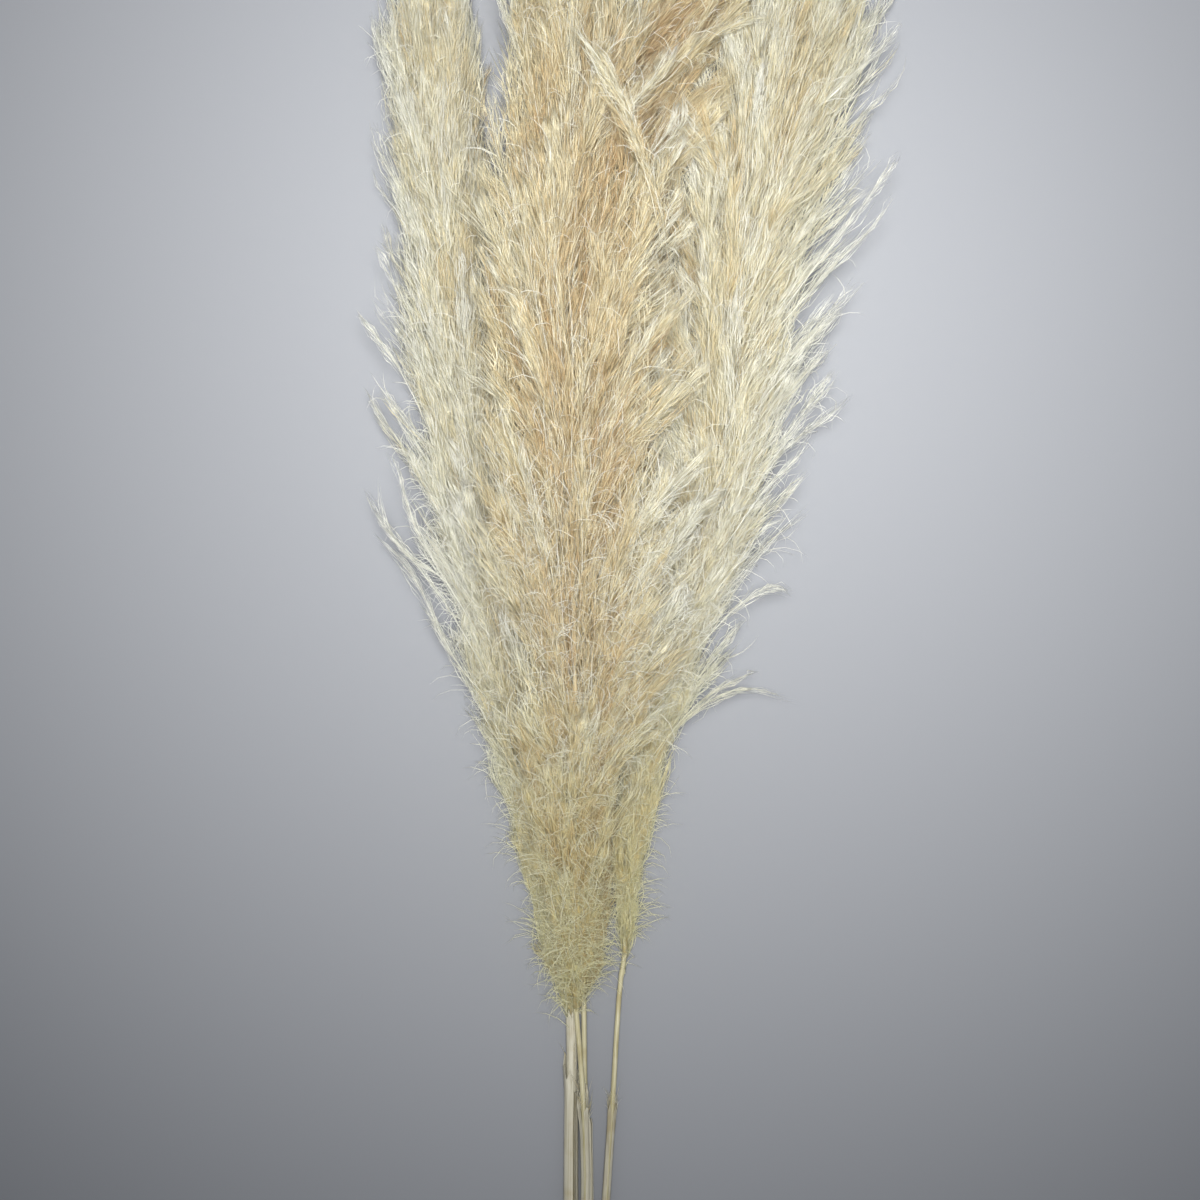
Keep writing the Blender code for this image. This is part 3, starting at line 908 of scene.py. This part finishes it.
def fibre_material():
    """Bleached plume fibre: straw brown to cream white by tint, yellower low in the plume."""
    material, tree, shader = new_material("plume_fibre")
    links = tree.links
    place = tree.nodes.new("ShaderNodeUVMap")
    place.uv_map = "OFBake"
    parts = tree.nodes.new("ShaderNodeSeparateXYZ")
    links.new(place.outputs["UV"], parts.inputs["Vector"])
    ramp = colour_ramp(tree, [
        (0.0, (0.66, 0.50, 0.31)),
        (0.25, (0.83, 0.72, 0.51)),
        (0.5, (0.92, 0.87, 0.70)),
        (0.75, (0.955, 0.95, 0.875)),
        (1.0, (0.975, 0.98, 0.965)),
    ])
    links.new(parts.outputs["X"], ramp.inputs["Fac"])
    low = tree.nodes.new("ShaderNodeMapRange")
    low.interpolation_type = "SMOOTHSTEP"
    low.inputs["From Min"].default_value = 0.0
    low.inputs["From Max"].default_value = 0.38
    low.inputs["To Min"].default_value = 1.0
    low.inputs["To Max"].default_value = 0.0
    links.new(parts.outputs["Y"], low.inputs["Value"])
    mix = tree.nodes.new("ShaderNodeMix")
    mix.data_type = "RGBA"
    mix.blend_type = "MULTIPLY"
    mix.inputs["B"].default_value = (0.97, 0.955, 0.80, 1.0)
    links.new(low.outputs["Result"], mix.inputs["Factor"])
    links.new(ramp.outputs["Color"], mix.inputs["A"])
    links.new(mix.outputs["Result"], shader.inputs["Base Color"])
    shader.inputs["Roughness"].default_value = 0.55
    shader.inputs["Specular IOR Level"].default_value = 0.3
    glow = tree.nodes.new("ShaderNodeBsdfTranslucent")
    warm = tree.nodes.new("ShaderNodeMix")
    warm.data_type = "RGBA"
    warm.blend_type = "MULTIPLY"
    warm.inputs["Factor"].default_value = 1.0
    warm.inputs["B"].default_value = (1.0, 0.995, 0.97, 1.0)
    links.new(mix.outputs["Result"], warm.inputs["A"])
    links.new(warm.outputs["Result"], glow.inputs["Color"])
    blend = tree.nodes.new("ShaderNodeMixShader")
    blend.inputs["Fac"].default_value = 0.7
    links.new(shader.outputs["BSDF"], blend.inputs[1])
    links.new(glow.outputs["BSDF"], blend.inputs[2])
    links.new(blend.outputs["Shader"], tree.nodes["Material Output"].inputs["Surface"])
    return material


def streak_group():
    """Fine streaks along the stems and soft patches over them, as values from 0 to 1."""
    group = bpy.data.node_groups.new("plant_streaks", "ShaderNodeTree")
    links = group.links
    sockets = group.interface
    for name, value in (("Across", 1400.0), ("Along", 30.0), ("Patch Size", 60.0)):
        socket = sockets.new_socket(name, in_out="INPUT", socket_type="NodeSocketFloat")
        socket.default_value = value
    sockets.new_socket("Streaks", in_out="OUTPUT", socket_type="NodeSocketFloat")
    sockets.new_socket("Patches", in_out="OUTPUT", socket_type="NodeSocketFloat")
    given = group.nodes.new("NodeGroupInput")
    result = group.nodes.new("NodeGroupOutput")
    place = group.nodes.new("ShaderNodeTexCoord")
    stretch = group.nodes.new("ShaderNodeCombineXYZ")
    links.new(given.outputs["Across"], stretch.inputs["X"])
    links.new(given.outputs["Along"], stretch.inputs["Y"])
    links.new(given.outputs["Across"], stretch.inputs["Z"])
    mapping = group.nodes.new("ShaderNodeMapping")
    links.new(place.outputs["Object"], mapping.inputs["Vector"])
    links.new(stretch.outputs["Vector"], mapping.inputs["Scale"])
    streaks = group.nodes.new("ShaderNodeTexNoise")
    streaks.inputs["Scale"].default_value = 1.0
    streaks.inputs["Detail"].default_value = 3.0
    streaks.inputs["Roughness"].default_value = 0.6
    links.new(mapping.outputs["Vector"], streaks.inputs["Vector"])
    patches = group.nodes.new("ShaderNodeTexNoise")
    patches.inputs["Detail"].default_value = 2.0
    links.new(place.outputs["Object"], patches.inputs["Vector"])
    links.new(given.outputs["Patch Size"], patches.inputs["Scale"])
    links.new(streaks.outputs["Fac"], result.inputs["Streaks"])
    links.new(patches.outputs["Fac"], result.inputs["Patches"])
    return group


def stem_material(name, group, stops, patch_colour, across_scale, along_scale, patch_size, bump):
    """Dry stem tissue: streaks set the colour, the roughness and the bump; patches stain it."""
    material, tree, shader = new_material(name)
    links = tree.links
    streaks = tree.nodes.new("ShaderNodeGroup")
    streaks.node_tree = group
    streaks.inputs["Across"].default_value = across_scale
    streaks.inputs["Along"].default_value = along_scale
    streaks.inputs["Patch Size"].default_value = patch_size
    ramp = colour_ramp(tree, stops)
    links.new(streaks.outputs["Streaks"], ramp.inputs["Fac"])
    stain = tree.nodes.new("ShaderNodeMapRange")
    stain.inputs["From Min"].default_value = 0.50
    stain.inputs["From Max"].default_value = 0.75
    links.new(streaks.outputs["Patches"], stain.inputs["Value"])
    mix = tree.nodes.new("ShaderNodeMix")
    mix.data_type = "RGBA"
    mix.blend_type = "MULTIPLY"
    mix.inputs["B"].default_value = (*patch_colour, 1.0)
    links.new(stain.outputs["Result"], mix.inputs["Factor"])
    links.new(ramp.outputs["Color"], mix.inputs["A"])
    links.new(mix.outputs["Result"], shader.inputs["Base Color"])
    dull = tree.nodes.new("ShaderNodeMapRange")
    dull.inputs["To Min"].default_value = 0.62
    dull.inputs["To Max"].default_value = 0.42
    links.new(streaks.outputs["Streaks"], dull.inputs["Value"])
    links.new(dull.outputs["Result"], shader.inputs["Roughness"])
    relief = tree.nodes.new("ShaderNodeBump")
    relief.inputs["Strength"].default_value = 0.6
    relief.inputs["Distance"].default_value = bump
    links.new(streaks.outputs["Streaks"], relief.inputs["Height"])
    links.new(relief.outputs["Normal"], shader.inputs["Normal"])
    return material


# ------------------------------------------------------------------------------------- stage
def make_floor():
    """A plain matt grey floor."""
    bpy.ops.mesh.primitive_plane_add(size=FLOOR_SIDE)
    floor = bpy.context.object
    floor.name = "floor"
    material, _, shader = new_material("floor_paint")
    shader.inputs["Base Color"].default_value = (0.192, 0.200, 0.217, 1.0)
    shader.inputs["Roughness"].default_value = 0.85
    floor.data.materials.append(material)


def make_light():
    """A wide soft spotlight above the plumes and a dim even sky."""
    light = bpy.data.lights.new("soft_box", "SPOT")
    light.spot_size = np.radians(34.8)
    light.spot_blend = 1.0
    light.shadow_soft_size = 0.45
    light.energy = 665.0
    light.color = (1.0, 0.99, 0.97)
    box = bpy.data.objects.new("soft_box", light)
    box.location = (0.02, 0.35, 2.2)
    bpy.context.scene.collection.objects.link(box)
    world = bpy.data.worlds.new("studio")
    bpy.context.scene.world = world
    world.use_nodes = True
    background = world.node_tree.nodes["Background"]
    background.inputs["Color"].default_value = (0.92, 0.95, 1.0, 1.0)
    background.inputs["Strength"].default_value = 0.39


def make_camera():
    """A long lens straight above the plumes; the tips and the cut ends are past its edges."""
    top_of_front = np.array(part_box("plume_front"))[1, 2]
    lens = bpy.data.cameras.new("camera")
    lens.lens = 80.0
    camera = bpy.data.objects.new("camera", lens)
    middle_height = top_of_front / 2
    distance = PICTURE_SIDE / 2 / np.tan(lens.angle / 2)
    camera.location = (-0.0215, 0.115, middle_height + distance)
    bpy.context.scene.collection.objects.link(camera)
    bpy.context.scene.camera = camera


bpy.context.scene.view_settings.view_transform = "Standard"
make_floor()
make_light()
make_camera()
FIBRE = fibre_material()
STREAKS = streak_group()
REED = stem_material("dry_reed", STREAKS, [
    (0.30, (0.25, 0.21, 0.11)),
    (0.45, (0.36, 0.33, 0.19)),
    (0.60, (0.43, 0.40, 0.27)),
    (0.72, (0.52, 0.50, 0.38)),
], (0.72, 0.66, 0.50), 1500.0, 22.0, 45.0, 0.00025)
LEAF = stem_material("dry_sheath", STREAKS, [
    (0.28, (0.27, 0.24, 0.16)),
    (0.45, (0.38, 0.355, 0.27)),
    (0.60, (0.45, 0.43, 0.34)),
    (0.75, (0.56, 0.54, 0.46)),
], (0.80, 0.74, 0.60), 1100.0, 14.0, 60.0, 0.0003)
RUBBER = stem_material("tan_rubber", STREAKS, [
    (0.30, (0.42, 0.29, 0.14)),
    (0.50, (0.50, 0.36, 0.19)),
    (0.70, (0.56, 0.42, 0.24)),
], (0.86, 0.80, 0.72), 700.0, 700.0, 120.0, 0.00008)
for plume_side in SIDES:
    grow_plume(plume_side, FIBRE)
    make_stem(plume_side, REED, LEAF, FIBRE)
make_band(RUBBER)
